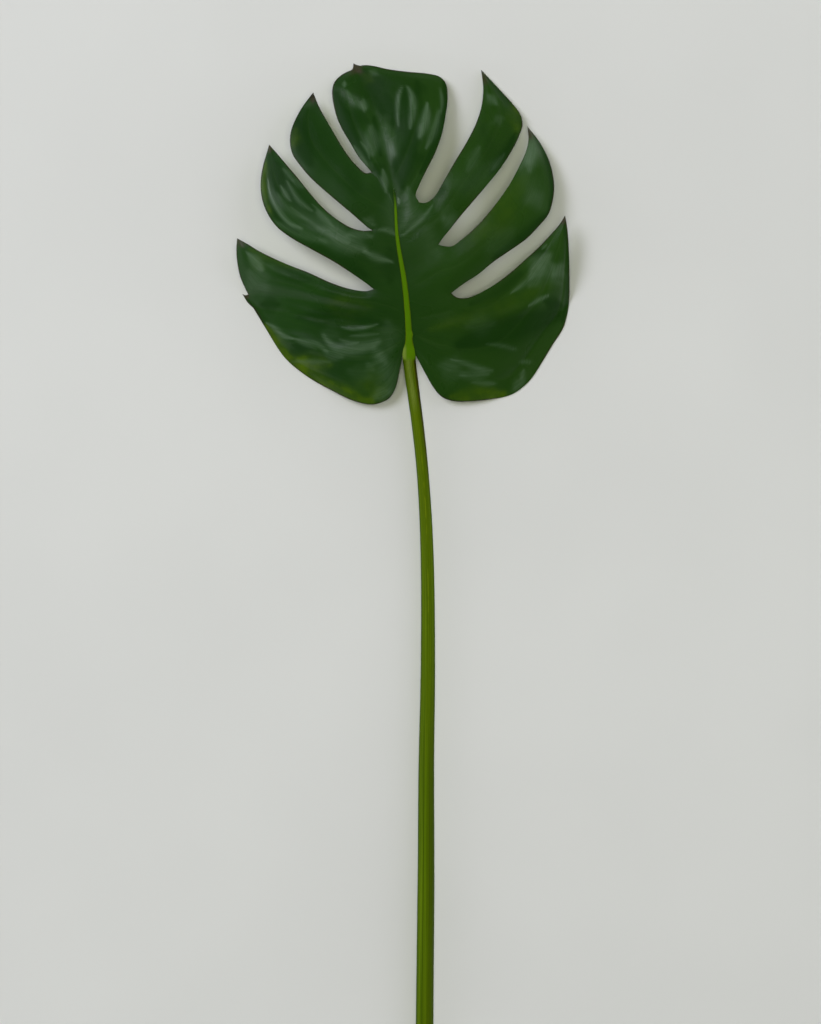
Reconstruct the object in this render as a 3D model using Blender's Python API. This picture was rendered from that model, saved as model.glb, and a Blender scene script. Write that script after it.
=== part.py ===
# Cut monstera leaf lying face up on a flat surface.
# Two grown pieces: the leathery blade with its deep cuts, and the stalk that runs on as the midrib.
# The outline is in millimetres from the knee, where stalk and blade meet: x to the right, y towards the tip.

import bpy
import bmesh
import numpy as np

MM = 0.001
KNEE = (0.0045, 0.1545)  # the knee's place in metres, so that the origin is the middle of the footprint

# Blade
BLADE_THICKNESS = 0.8
VEIN_RIDGE = 0.7  # how far the side veins stand out of the underside
KNEE_TOP = 16.0  # height of the blade's upper face at the knee
ARCH_RISE = 14.0  # the midrib climbs this far above the knee and comes down again
ARCH_SPAN = 180.0
TROUGH_RISE = 2.5  # the blade rises a little beside the midrib
TROUGH_WIDTH = 22.0
LEFT_DROOP = 0.0014  # fall per square millimetre of distance from the midrib
RIGHT_DROOP = 0.0009
BASE_DROOP = 0.0012  # added for the two lobes beside the knee, which rest on the surface
BASE_DROOP_SPAN = (-85.0, -10.0)
REST_BLEND = 1.5  # how softly the blade levels out where it meets the surface
PUFF = 3.0  # how far each lobe swells between its edges
VEIN_GROOVE = 0.9  # how deep a side vein is pressed into the upper face
VEIN_WIDTH = 0.11  # as a share of a lobe's width
VEIN_FADE_IN = (6.0, 14.0)  # distance from the midrib where a side vein begins and is full
VEIN_FADE_OUT = (0.02, 0.25)  # share of the lobe's length, from its tip, over which it fades
RIPPLE = 1.0
RIPPLE_LENGTHS = (15.0, 19.0)  # across and along the leaf
RIPPLE_FADE_IN = (15.0, 60.0)
RIB_CLEARANCE = 0.35  # between the midrib and the edges of the slot it sits in

# Midrib: distance from the knee, half width of the strip on top, half width and depth of the body underneath
RIB_STATIONS = np.array(
    [
        (0, 4.9, 4.9, 10.0),
        (5, 4.3, 4.8, 9.5),
        (10, 2.9, 4.6, 9.0),
        (18, 2.4, 4.3, 8.3),
        (52, 2.0, 3.0, 6.0),
        (88, 1.1, 1.9, 3.5),
        (120, 0.4, 0.9, 1.9),
    ]
)
RIB_END = 120.0
SLOT_END = 124.0
SLOT_TAPER = 3.0
RIB_CROWN = 0.4  # height of the strip above the blade
RIB_SHOULDER = 1.15  # depth of the strip in its slot, down to where the body under the blade begins
RIB_SECTIONS = [0, 3, 6, 8, 10, 13, 18, 25, *np.linspace(34, RIB_END, 11)]

# Stalk: centre line x, y and radius; it lies on the surface on a flat of its own
STALK_STATIONS = np.array(
    [
        (11.5, -528, 6.6),
        (11.8, -480, 6.5),
        (12.6, -400, 6.3),
        (13.0, -310, 5.8),
        (14.2, -225, 5.3),
        (13.5, -145, 4.8),
        (10.5, -90, 4.4),
        (6.8, -54, 4.4),
        (1.9, -18, 4.7),
        (0.3, -5, 4.9),
    ]
)
STALK_FLAT_ANGLE = 15  # half angle of the flat underneath, in degrees
STALK_SPACING = 13.0
STALK_LIFT = 6.6  # the stalk leaves the surface and climbs this far to the knee
LIFT_START = -160.0

MIDLINE = [
    (0, 0), (-0.2, 17), (-3.2, 52), (-8.8, 88), (-11, 121), (-15.5, 141), (-22, 168), (-30, 193), (-41.6, 219),
]

# Seams run inside the blade from the midrib to the bottom of a cut: the height of the foot, then points.
SEAMS = {
    "left_notch": (22, [(-18, 27), (-52, 34.5), (-85.5, 41.5), (-110, 44.5), (-120.5, 46)]),
    "left_low": (40, [(-14.5, 46.5), (-26.5, 49)]),
    "left_mid": (87, [(-17.5, 95), (-27.5, 92.5)]),
    "left_top": (110, [(-19, 124.5), (-28, 136)]),
    "right_top": (110, [(-3, 108), (7.5, 113.5)]),
    "right_mid": (66, [(8.5, 73), (22, 82)]),
    "right_low": (32, [(16, 38.5), (31.5, 46)]),
}
SEAM_COLUMNS = {
    "left_notch": 20,
    "left_low": 4,
    "left_mid": 4,
    "left_top": 5,
    "right_top": 4,
    "right_mid": 5,
    "right_low": 6,
}

TIPS = {
    "left_1": (-125, 46.5),
    "left_2": (-128.5, 87.5),
    "left_3": (-104.5, 157.5),
    "left_4": (-71.5, 196.5),
    "end": (-41.6, 219),
    "right_3": (54, 214.5),
    "right_2": (88.5, 172),
    "right_1": (116.5, 104.5),
}

# Free margins, each from its cut (or from the knee) to the lobe's tip, without its two end points
MARGINS = {
    "left_1_low": [
        (-7.5, -14), (-10, -24), (-15, -32), (-26.5, -36.5), (-41, -34), (-57, -26.5),
        (-77, -15), (-93, -1.5), (-105, 16.5), (-114, 33), (-121, 40),
    ],
    "left_1_top": [(-122.5, 45.5)],
    "left_2_low": [(-123, 51), (-126.5, 59.5), (-128.5, 70.5), (-129, 79.5)],
    "left_2_top": [
        (-32, 48.5), (-44, 50.5), (-57, 55), (-74, 62.5), (-91, 69), (-110, 77.5), (-120.5, 83),
    ],
    "left_3_low": [
        (-32, 53.5), (-41, 59.5), (-55, 68.5), (-71, 77.5), (-87, 86.5), (-98.5, 95.5),
        (-106, 105), (-110.5, 117), (-111.5, 129), (-109.5, 142), (-106.5, 151),
    ],
    "left_3_top": [
        (-35, 93.5), (-43.5, 96), (-57, 104.5), (-67, 113.5), (-74.5, 122.5), (-82.5, 131.5),
        (-90.5, 141), (-98, 150),
    ],
    "left_4_low": [
        (-31, 95.5), (-40.5, 104.5), (-51, 113.5), (-62, 123), (-71.5, 132), (-80, 141),
        (-86.5, 150), (-89, 160.5), (-88, 169.5), (-83, 181), (-77, 190),
    ],
    "left_4_top": [(-32.5, 135.5), (-39.5, 141.5), (-47, 151), (-55, 164), (-61.5, 175.5), (-67, 185.5)],
    "end_left": [
        (-28.5, 139.5), (-35, 147.5), (-41.5, 157.5), (-47, 167.5), (-51.5, 176.5), (-55, 185.5),
        (-57.5, 196), (-56.3, 203.5), (-52, 209), (-46.5, 212.5), (-42.5, 214.5),
    ],
    "end_right": [
        (5, 119), (7, 125.5), (11.5, 136.5), (18, 150), (23.3, 164.5), (26.5, 178.5),
        (28.7, 193.5), (27.5, 204.5), (23, 209.5), (14, 211.7), (-1, 213), (-16, 215),
        (-26, 217.3), (-33, 218), (-37.5, 217.4),
    ],
    "right_3_top": [
        (11, 113), (16, 115), (20.5, 120), (27, 131.5), (35, 145.5), (43, 159), (49.5, 172),
        (54, 185.5), (55.5, 199.5),
    ],
    "right_3_low": [
        (24.5, 86), (31, 94), (35.5, 103), (45, 114), (57, 127), (67.5, 140.5), (76.5, 154.5),
        (82, 164.5), (85, 173), (83.5, 180.5), (76.5, 190), (66, 201.5),
    ],
    "right_2_top": [
        (25.5, 81), (31.5, 81), (38.5, 86), (50.5, 97), (60, 108), (68, 118.5), (75.5, 130),
        (82, 140.5), (87.5, 153), (89.3, 162),
    ],
    "right_2_low": [
        (35.5, 49.5), (40, 53.5), (49.5, 60), (60, 69), (73, 78), (85.5, 87), (94.5, 96),
        (103, 105), (106.5, 114), (108.5, 124.5), (107.3, 136.5), (103.5, 149), (97, 161),
    ],
    "right_1_top": [
        (34.5, 43.5), (40, 43), (46.5, 45), (58.5, 51.5), (71.5, 60.5), (84, 70.5), (96, 80.5),
        (106.5, 91), (112.5, 98),
    ],
    "right_1_low": [
        (8.5, -6.5), (12.5, -14), (18, -23.5), (24, -30.5), (33, -34), (46.5, -34.2), (61.5, -32.5),
        (74, -30), (80.5, -27), (87.5, -21.5), (92.5, -16), (99, -4), (106.5, 8.5), (114.5, 20.5),
        (118, 28.5), (120, 40.5), (120, 59.5), (119.3, 79.5), (118.3, 94),
    ],
}

# Lobes: side, seam below and its margin, seam above and its margin, tip, side veins, columns to the tip
LOBES = {
    "left_1": (-1, None, "left_1_low", "left_notch", "left_1_top", "left_1", 3, 34),
    "left_2": (-1, "left_notch", "left_2_low", "left_low", "left_2_top", "left_2", 1, 26),
    "left_3": (-1, "left_low", "left_3_low", "left_mid", "left_3_top", "left_3", 1, 24),
    "left_4": (-1, "left_mid", "left_4_low", "left_top", "left_4_top", "left_4", 1, 22),
    "end_left": (-1, "left_top", "end_left", None, None, "end", 2, 26),
    "end_right": (1, "right_top", "end_right", None, None, "end", 3, 26),
    "right_3": (1, "right_mid", "right_3_low", "right_top", "right_3_top", "right_3", 1, 24),
    "right_2": (1, "right_low", "right_2_low", "right_mid", "right_2_top", "right_2", 1, 24),
    "right_1": (1, None, "right_1_low", "right_low", "right_1_top", "right_1", 3, 38),
}
SINGLE_VEIN_ROWS = np.array([0, 0.15, 0.3, 0.42, 0.5, 0.58, 0.7, 0.85, 1])
ROWS_PER_VEIN = 4
MARGIN_CROWDING = 1.3  # above 1, columns are closer together at the bottom of a cut than at the tip
WELD = 0.02


def dense_path(points, steps=24):
    """A centripetal Catmull-Rom curve through the points, as many short chords."""
    points = np.array(points, float)
    before = 2 * points[:1] - points[1:2]
    after = 2 * points[-1:] - points[-2:-1]
    knots = np.vstack([before, points, after])
    path = [points[:1]]
    for p0, p1, p2, p3 in zip(knots, knots[1:], knots[2:], knots[3:]):
        t1 = max(np.linalg.norm(p1 - p0), 1e-6) ** 0.5
        t2 = t1 + max(np.linalg.norm(p2 - p1), 1e-6) ** 0.5
        t3 = t2 + max(np.linalg.norm(p3 - p2), 1e-6) ** 0.5
        t = np.linspace(t1, t2, steps + 1)[1:, None]
        a1 = p0 + (p1 - p0) * t / t1
        a2 = p1 + (p2 - p1) * (t - t1) / (t2 - t1)
        a3 = p2 + (p3 - p2) * (t - t2) / (t3 - t2)
        b1 = a1 + (a2 - a1) * t / t2
        b2 = a2 + (a3 - a2) * (t - t1) / (t3 - t1)
        path.append(b1 + (b2 - b1) * (t - t1) / (t2 - t1))
    return np.vstack(path)


def along(points, shares):
    """Points at the given shares of the length of the smooth curve through the given points."""
    path = dense_path(points)
    length = np.concatenate([[0], np.cumsum(np.linalg.norm(np.diff(path, axis=0), axis=1))])
    wanted = np.asarray(shares) * length[-1]
    return np.stack([np.interp(wanted, length, path[:, i]) for i in range(path.shape[1])], axis=1)


def smooth_step(x, low, high):
    t = np.clip((x - low) / (high - low), 0, 1)
    return t * t * (3 - 2 * t)


MIDLINE_PATH = dense_path(MIDLINE)
RIB_PATH = dense_path(RIB_STATIONS)


def midline_x(y):
    return np.interp(y, MIDLINE_PATH[:, 1], MIDLINE_PATH[:, 0])


def rib_size(y):
    """Half width on top, half width underneath and depth of the midrib at y."""
    return [np.interp(y, RIB_PATH[:, 0], RIB_PATH[:, i]) for i in (1, 2, 3)]


def slot_edge(y, side):
    """The blade's edge beside the midrib, closing to the middle line past the rib's end."""
    half = rib_size(y)[0] + RIB_CLEARANCE
    half = half * smooth_step(-y, -SLOT_END, SLOT_TAPER - SLOT_END)
    return np.stack([midline_x(y) + side * half, y], axis=1)


def crown_height(y):
    """Height of the blade's upper face on the middle line."""
    return KNEE_TOP + ARCH_RISE * np.sin(np.pi * y / ARCH_SPAN)


def blade_height(x, y):
    """The blade's broad form: an arch along the midrib, a shallow trough beside it and drooping sides."""
    reach = x - midline_x(y)
    fall = np.where(reach < 0, LEFT_DROOP, RIGHT_DROOP) + BASE_DROOP * smooth_step(-y, *BASE_DROOP_SPAN)
    droop = fall * reach**2
    trough = TROUGH_RISE * (1 - np.exp(-((reach / TROUGH_WIDTH) ** 2)))
    ripple = RIPPLE * np.sin(x / RIPPLE_LENGTHS[0] + 0.6) * np.sin(y / RIPPLE_LENGTHS[1])
    ripple = ripple * smooth_step(np.abs(reach), *RIPPLE_FADE_IN)
    return crown_height(y) + trough - droop + ripple


def level_out(height):
    """Keeps the upper face a blade's thickness above the surface, with a soft bend where it levels out."""
    over = height - BLADE_THICKNESS
    bend = (np.clip(over, -REST_BLEND, REST_BLEND) + REST_BLEND) ** 2 / (4 * REST_BLEND)
    return BLADE_THICKNESS + np.where(over > REST_BLEND, over, bend)


def edge_of_lobe(side, seam, margin, tip, columns):
    """One long edge of a lobe, from the midrib to the tip: the seam first, then the free margin."""
    if margin is None:
        return slot_edge(np.linspace(SEAMS["left_top"][0], TIPS[tip][1], columns + 1), side)
    if seam is None:
        start = slot_edge(np.zeros(1), side)[0]
        return along([start, *MARGINS[margin], TIPS[tip]], np.linspace(0, 1, columns + 1))
    foot, points = SEAMS[seam]
    inner = SEAM_COLUMNS[seam]
    start = slot_edge(np.array([float(foot)]), side)[0]
    inside = along([start, *points], np.linspace(0, 1, inner + 1))
    shares = np.linspace(0, 1, columns - inner + 1) ** MARGIN_CROWDING
    outside = along([points[-1], *MARGINS[margin], TIPS[tip]], shares)
    return np.vstack([inside, outside[1:]])


def lobe_grid(side, low_seam, low_margin, top_seam, top_margin, tip, veins, columns):
    """Points of one lobe and the thickness of the blade there. Rows run from the midrib to the tip."""
    low = edge_of_lobe(side, low_seam, low_margin, tip, columns)
    top = edge_of_lobe(side, top_seam, top_margin, tip, columns)
    rows = SINGLE_VEIN_ROWS if veins == 1 else np.linspace(0, 1, ROWS_PER_VEIN * veins + 1)
    u = rows[:, None]
    plane = low[None] * (1 - u[..., None]) + top[None] * u[..., None]
    feet = [SEAMS[seam][0] if seam else 0 for seam in (low_seam, top_seam)]
    if top_margin is not None:
        plane[:, 0] = slot_edge(feet[0] + (feet[1] - feet[0]) * rows, side)
    x, y = plane[..., 0], plane[..., 1]
    v = np.linspace(0, 1, columns + 1)[None]
    swell = np.sin(np.pi * u) ** 2 * np.sin(np.pi * v) ** 0.7
    places = (np.arange(veins) + 0.5) / veins
    vein = sum(np.exp(-(((u - place) * veins / VEIN_WIDTH) ** 2)) for place in places)
    vein = vein * smooth_step(np.abs(x - midline_x(y)), *VEIN_FADE_IN) * smooth_step(1 - v, *VEIN_FADE_OUT)
    height = level_out(blade_height(x, y) + PUFF * swell - VEIN_GROOVE * vein)
    thickness = np.minimum(BLADE_THICKNESS + VEIN_RIDGE * vein, height)
    return np.stack([x, y, height, thickness], axis=-1)


def to_metres(points):
    """From millimetres at the knee to metres in the part's own frame."""
    return np.asarray(points, float) * MM + np.array([KNEE[0], KNEE[1], 0])


def build_blade():
    """The blade: lobes welded along their seams into one sheet, which is then extruded downwards."""
    mesh = bpy.data.meshes.new("blade")
    bm = bmesh.new()
    depth = bm.verts.layers.float.new("depth")
    for values in LOBES.values():
        grid = lobe_grid(*values)
        rows, columns = grid.shape[:2]
        verts = []
        for point in grid.reshape(-1, 4):
            vert = bm.verts.new(to_metres(point[:3]))
            vert[depth] = point[3] * MM
            verts.append(vert)
        for i in range(rows - 1):
            for j in range(columns - 1):
                corners = [verts[(i + a) * columns + j + b] for a, b in ((0, 0), (0, 1), (1, 1), (1, 0))]
                bm.faces.new(corners if values[0] > 0 else corners[::-1])
    bmesh.ops.remove_doubles(bm, verts=bm.verts, dist=WELD * MM)
    bmesh.ops.triangulate(bm, faces=bm.faces)
    made = bmesh.ops.extrude_face_region(bm, geom=bm.faces[:])
    for vert in made["geom"]:
        if isinstance(vert, bmesh.types.BMVert):
            vert.co.z -= vert[depth]
    bmesh.ops.recalc_face_normals(bm, faces=bm.faces)
    bm.to_mesh(mesh)
    bm.free()
    return mesh


def stalk_section(x, y, radius, centre):
    """Round section of the stalk with a narrow flat underneath, point for point like the midrib's."""
    half = [90, 62, 38, 18, 0, -25, -50, STALK_FLAT_ANGLE - 90]
    angles = np.radians(half + [180 - degrees for degrees in half[:0:-1]])
    return [(x + radius * np.cos(a), y, centre + radius * np.sin(a)) for a in angles]


def rib_section(y):
    """Section of the midrib: a strip in the slot, and a rounded body under the blade."""
    top, body, depth = rib_size(y)
    side = [(top * 0.6, RIB_CROWN * 0.85), (top, 0), (top, -RIB_SHOULDER)]
    widest = RIB_SHOULDER + 0.15
    around = np.radians([0, 25, 50, 90 - STALK_FLAT_ANGLE])
    side += [(body * np.cos(a), -widest - (depth - widest) * np.sin(a) / np.sin(around[-1])) for a in around]
    half = [(0, RIB_CROWN), *side]
    other = [(-across, height) for across, height in side[::-1]]
    middle, crown = float(midline_x(y)), float(crown_height(y))
    return [(middle + across, y, crown + height) for across, height in half + other]


def build_stalk():
    """The stalk from its cut end to the knee, running on as the midrib: one skin over a row of sections."""
    length = np.linalg.norm(np.diff(STALK_STATIONS[:, :2], axis=0), axis=1).sum()
    stations = along(STALK_STATIONS, np.linspace(0, 1, int(length / STALK_SPACING) + 1))
    sunk = np.sin(np.radians(90 - STALK_FLAT_ANGLE))
    sections = []
    for x, y, radius in stations:
        lift = STALK_LIFT * np.clip(1 - y / LIFT_START, 0, 1) ** 2
        sections.append(stalk_section(x, y, radius, radius * sunk + lift))
    sections += [rib_section(float(y)) for y in RIB_SECTIONS]
    mesh = bpy.data.meshes.new("stalk")
    bm = bmesh.new()
    rings = [[bm.verts.new(to_metres(point)) for point in section] for section in sections]
    for ring, following in zip(rings, rings[1:]):
        for i in range(len(ring)):
            j = (i + 1) % len(ring)
            bm.faces.new((ring[i], ring[j], following[j], following[i]))
    bm.faces.new(rings[0][::-1])
    bm.faces.new(rings[-1])
    bmesh.ops.triangulate(bm, faces=bm.faces)
    bmesh.ops.recalc_face_normals(bm, faces=bm.faces)
    bm.to_mesh(mesh)
    bm.free()
    return mesh


def material(name, colour, roughness):
    made = bpy.data.materials.new(name)
    made.use_nodes = True
    shader = made.node_tree.nodes["Principled BSDF"]
    shader.inputs["Base Color"].default_value = (*colour, 1)
    shader.inputs["Roughness"].default_value = roughness
    shader.inputs["Metallic"].default_value = 0
    return made


def place(name, mesh, finish):
    mesh.shade_smooth()
    mesh.set_sharp_from_angle(angle=np.radians(50))
    mesh.materials.append(finish)
    part = bpy.data.objects.new(name, mesh)
    bpy.context.scene.collection.objects.link(part)
    return part


def main():
    for old in list(bpy.data.objects):
        bpy.data.objects.remove(old)
    place("leaf_blade", build_blade(), material("dark_green_blade", (0.02, 0.065, 0.02), 0.35))
    place("stalk_and_midrib", build_stalk(), material("olive_green_stalk", (0.1, 0.17, 0.012), 0.42))


main()
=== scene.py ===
import bpy
import numpy as np
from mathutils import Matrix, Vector


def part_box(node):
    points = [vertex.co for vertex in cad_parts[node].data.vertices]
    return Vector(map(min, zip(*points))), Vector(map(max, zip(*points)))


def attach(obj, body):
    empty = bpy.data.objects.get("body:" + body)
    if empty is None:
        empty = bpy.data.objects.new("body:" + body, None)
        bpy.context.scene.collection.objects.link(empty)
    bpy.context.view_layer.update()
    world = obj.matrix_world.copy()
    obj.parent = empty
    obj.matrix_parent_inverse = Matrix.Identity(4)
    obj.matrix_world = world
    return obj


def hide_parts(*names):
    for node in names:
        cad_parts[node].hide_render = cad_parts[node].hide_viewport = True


# A cut monstera leaf lying face up: a finer blade and a finer stalk stand in for the two CAD solids.
# Shapes are worked out in millimetres from the knee, where stalk and blade meet, with y towards the tip.

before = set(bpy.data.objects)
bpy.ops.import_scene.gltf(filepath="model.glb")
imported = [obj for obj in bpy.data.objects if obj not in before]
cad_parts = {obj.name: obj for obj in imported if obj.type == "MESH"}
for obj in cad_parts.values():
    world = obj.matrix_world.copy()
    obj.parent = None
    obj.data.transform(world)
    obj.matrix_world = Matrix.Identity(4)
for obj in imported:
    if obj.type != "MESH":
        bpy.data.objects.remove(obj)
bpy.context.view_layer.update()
mm = 0.001


# Shared curves

def smoothStep(x, low, high):  # 0 below low, 1 above high, 3t^2 - 2t^3 between
    t = np.clip((x - low) / (high - low), 0, 1)
    return t * t * (3 - 2 * t)


def fadeOut(x, low, high):  # the same curve falling: 1 below low, 0 above high
    return smoothStep(-x, -high, -low)


def bell(x, width):  # exp(-(x / width)^2)
    return np.exp(-((x / width) ** 2))


def densePath(points, steps=24):  # centripetal Catmull-Rom through the points, as many short chords
    points = np.array(points, float)
    knots = np.vstack([2 * points[:1] - points[1:2], points, 2 * points[-1:] - points[-2:-1]])
    path = [points[:1]]
    for p0, p1, p2, p3 in zip(knots, knots[1:], knots[2:], knots[3:]):
        t1 = max(np.linalg.norm(p1 - p0), 1e-6) ** 0.5
        t2 = t1 + max(np.linalg.norm(p2 - p1), 1e-6) ** 0.5
        t3 = t2 + max(np.linalg.norm(p3 - p2), 1e-6) ** 0.5
        t = np.linspace(t1, t2, steps + 1)[1:, None]
        a1 = p0 + (p1 - p0) * t / t1
        a2 = p1 + (p2 - p1) * (t - t1) / (t2 - t1)
        a3 = p2 + (p3 - p2) * (t - t2) / (t3 - t2)
        b1 = a1 + (a2 - a1) * t / t2
        b2 = a2 + (a3 - a2) * (t - t1) / (t3 - t1)
        path.append(b1 + (b2 - b1) * (t - t1) / (t2 - t1))
    return np.vstack(path)


def alongPath(points, shares):  # points at the given shares of the smooth curve's length
    path = densePath(points)
    length = np.concatenate([[0], np.cumsum(np.linalg.norm(np.diff(path, axis=0), axis=1))])
    wanted = np.asarray(shares) * length[-1]
    return np.stack([np.interp(wanted, length, path[:, i]) for i in range(path.shape[1])], axis=1)


def nearCurve(x, y, points, steps):  # distance to the curve, and how far along it the nearest point is
    path = alongPath(points, np.linspace(0, 1, steps))
    start, step = path[:-1], np.diff(path, axis=0)
    long2 = np.maximum((step**2).sum(axis=1), 1e-9)
    dx, dy = x[:, None] - start[None, :, 0], y[:, None] - start[None, :, 1]
    t = np.clip((dx * step[:, 0] + dy * step[:, 1]) / long2, 0, 1)
    away = np.hypot(dx - t * step[:, 0], dy - t * step[:, 1])
    nearest = away.argmin(axis=1)
    row = np.arange(len(x))
    reached = np.concatenate([[0], np.cumsum(np.sqrt(long2))])
    share = (reached[nearest] + t[row, nearest] * np.sqrt(long2)[nearest]) / reached[-1]
    return away[row, nearest], share


# Outline of the leaf: the CAD blade's, with stretches of its margins moved by up to 3 mm

outline = dict(
    midline=[
        (0, 0), (-0.2, 17), (-3.2, 52), (-8.8, 88), (-11, 121), (-15.5, 141), (-22, 168), (-30, 193),
        (-41.6, 219),
    ],
    seams={  # inside the blade: a foot on the midrib (its y), columns, points to the bottom of a cut
        "leftNotch": (22, 20, [(-18, 27), (-52, 34.5), (-85.5, 41.5), (-110, 44.5), (-120.5, 46)]),
        "leftLow": (40, 4, [(-14.5, 46.5), (-26.5, 49)]),
        "leftMid": (87, 4, [(-17.5, 95), (-27.5, 92.5)]),
        "leftTop": (110, 5, [(-19, 124.5), (-28, 136)]),
        "rightTop": (110, 4, [(-3, 108), (7.5, 113.5)]),
        "rightMid": (66, 5, [(8.5, 73), (22, 82)]),
        "rightLow": (32, 6, [(16, 38.5), (31.5, 46)]),
    },
    columnsFiner=3, crowding=1.3,
)

lobes = [
    # side: -1 left, 1 right; low and top: free margins from the midrib outwards, without their ends
    # finger: the swell between its edges, its fall to the tip, its lean to the upper edge
    dict(  # left1
        side=-1, seams=(None, "leftNotch"), tip=(-125, 46.5), finger=(2.6, 0, 0),
        veins=3, columns=34, rows=66,
        low=[
            (-7.5, -14), (-10, -24), (-15, -32), (-26.5, -36.5), (-41, -34), (-57, -26.5), (-77, -15),
            (-93, -1.5), (-105, 16.5), (-114, 33), (-121, 40),
        ],
        top=[(-122.5, 45.5)],
    ),
    dict(  # left2
        side=-1, seams=("leftNotch", "leftLow"), tip=(-128.5, 87.5), finger=(2.6, 2, 1),
        veins=1, columns=26, rows=40,
        low=[(-123, 51), (-126.5, 59.5), (-128.5, 70.5), (-129, 79.5)],
        top=[
            (-31.5, 47.6), (-44, 49.2), (-58.5, 54), (-75.5, 61.7), (-92.5, 68.4), (-111, 77.2),
            (-120.5, 83),
        ],
    ),
    dict(  # left3
        side=-1, seams=("leftLow", "leftMid"), tip=(-104.5, 157.5), finger=(1.3, 0, 0),
        veins=1, columns=24, rows=40,
        low=[
            (-31.5, 53), (-42, 60.3), (-56, 69.3), (-72.2, 78.4), (-88, 87.4), (-98.5, 95.5),
            (-105.4, 105.2), (-109.8, 117), (-110.8, 129), (-108.9, 142), (-106.3, 151),
        ],
        top=[
            (-34.5, 92.3), (-44.2, 95), (-57.6, 103.8), (-67.4, 113), (-75, 122), (-82.5, 131.5),
            (-90.5, 141), (-98, 150),
        ],
    ),
    dict(  # left4
        side=-1, seams=("leftMid", "leftTop"), tip=(-71.5, 196.5), finger=(0.8, 0, -2.5),
        veins=1, columns=22, rows=40,
        low=[
            (-31.5, 95.3), (-42, 104.5), (-52.6, 113.5), (-63.6, 123), (-73.4, 132), (-81, 141),
            (-87, 150), (-88.9, 160.5), (-87.5, 169.5), (-82.4, 181), (-76.6, 190),
        ],
        top=[(-32.5, 135.5), (-39.5, 141.5), (-47, 151), (-55, 164), (-61.5, 175.5), (-67, 185.5)],
    ),
    dict(  # end lobe, left of the midline
        side=-1, seams=("leftTop", None), tip=(-41.6, 219), finger=(1.4, 1.5, 0),
        veins=2, columns=32, rows=42,
        low=[
            (-30.5, 139.2), (-37.5, 147.5), (-43.4, 157.5), (-49.3, 167.5), (-53.5, 176.5),
            (-56, 185.5), (-57.5, 196), (-56.3, 203.5), (-52, 209), (-46.5, 212.5), (-42.5, 214.5),
        ],
        top=None,
    ),
    dict(  # end lobe, right of the midline
        side=1, seams=("rightTop", None), tip=(-41.6, 219), finger=(1.2, 1.5, 0),
        veins=3, columns=32, rows=58,
        low=[
            (5, 119), (7.3, 125.5), (12.4, 136.5), (19.2, 150), (24.4, 164.5), (27.2, 178.5),
            (28.9, 193.5), (27.5, 204), (23, 208.9), (14, 211.2), (-1, 212.5), (-16, 214.5),
            (-26, 216.9), (-33, 217.7), (-37.5, 217.2),
        ],
        top=None,
    ),
    dict(  # right3
        side=1, seams=("rightMid", "rightTop"), tip=(54, 214.5), finger=(1.8, 0, 1),
        veins=1, columns=24, rows=40,
        low=[
            (24.5, 86), (30.8, 93.7), (37.4, 102.1), (46.6, 113), (58, 126.5), (68.6, 140),
            (77.5, 154.2), (82.4, 164.4), (85, 173), (83.5, 180.5), (76.5, 190), (66, 201.5),
        ],
        top=[
            (11, 113), (16, 115), (20.5, 120), (27, 131.5), (35, 145.5), (43, 159), (49.5, 172),
            (54, 185.5), (55.5, 199.5),
        ],
    ),
    dict(  # right2
        side=1, seams=("rightLow", "rightMid"), tip=(88.5, 172), finger=(2, 2, 1),
        veins=1, columns=24, rows=42,
        low=[
            (36, 49.6), (41.5, 53.6), (51.5, 60), (62.5, 69), (75.5, 78), (88, 87), (96.6, 96),
            (104, 105), (107, 114), (108.5, 124.5), (107.3, 136.5), (103.5, 149), (97, 161),
        ],
        top=[
            (25.5, 81), (31.8, 80.8), (39, 85.7), (51.2, 96.6), (60.8, 107.6), (68.8, 118.1),
            (76.3, 129.6), (82, 140.5), (87.5, 153), (89.3, 162),
        ],
    ),
    dict(  # right1
        side=1, seams=(None, "rightLow"), tip=(116.5, 104.5), finger=(2.6, 0, -1),
        veins=3, columns=38, rows=72,
        low=[
            (8.5, -6.5), (12.5, -14), (18, -23.5), (24, -30.5), (33, -34), (46.5, -34.2),
            (61.5, -32.5), (74, -30), (80.5, -27), (87.5, -21.5), (92.5, -16), (100.2, -4),
            (107.8, 8.5), (115.4, 20.5), (118, 28.5), (120, 40.5), (120, 59.5), (119.3, 79.5),
            (118.3, 94),
        ],
        top=[
            (35.5, 43), (42, 42.4), (49.8, 44.9), (62, 51.5), (74.4, 60.5), (85.8, 70.5), (96.8, 80.5),
            (106.5, 91), (112.5, 98),
        ],
    ),
]

rib = dict(
    stations=[  # distance from the knee, half width of the strip on top, half width and depth of the body
        (0, 4.5, 4.9, 10), (5, 3.7, 4.8, 9.5), (10, 2.5, 4.6, 9), (18, 2.05, 4.3, 8.3), (52, 1.7, 3, 6),
        (88, 1.1, 1.9, 3.5), (120, 0.45, 0.9, 1.9),
    ],
    slotEnd=124, slotTaper=3, crown=0.55, shoulder=1.15, slotGap=0.35, visibleGap=0.06, thinnest=0.03,
    endTaper=(8, 0.5), endDepth=1.5, endGap=0.4,  # the taper is from before the slot's end to past it
    crownPower=0.8, corner=0.9, lip=0.15, rings=110, firstRing=0.004, ringCrowding=1.25,
)

form = dict(  # the broad form: the CAD's, with small changes to its droop
    kneeTop=16, archRise=14, archSpan=180, troughRise=2.5, troughWidth=22,
    leftDroop=0.001, rightDroop=0.0009, baseDroop=0.0014, baseDroopSpan=(10, 85),
    restBlend=1.5, ripple=1, rippleLengths=(15, 19), rippleFade=(15, 60),
)

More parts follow.
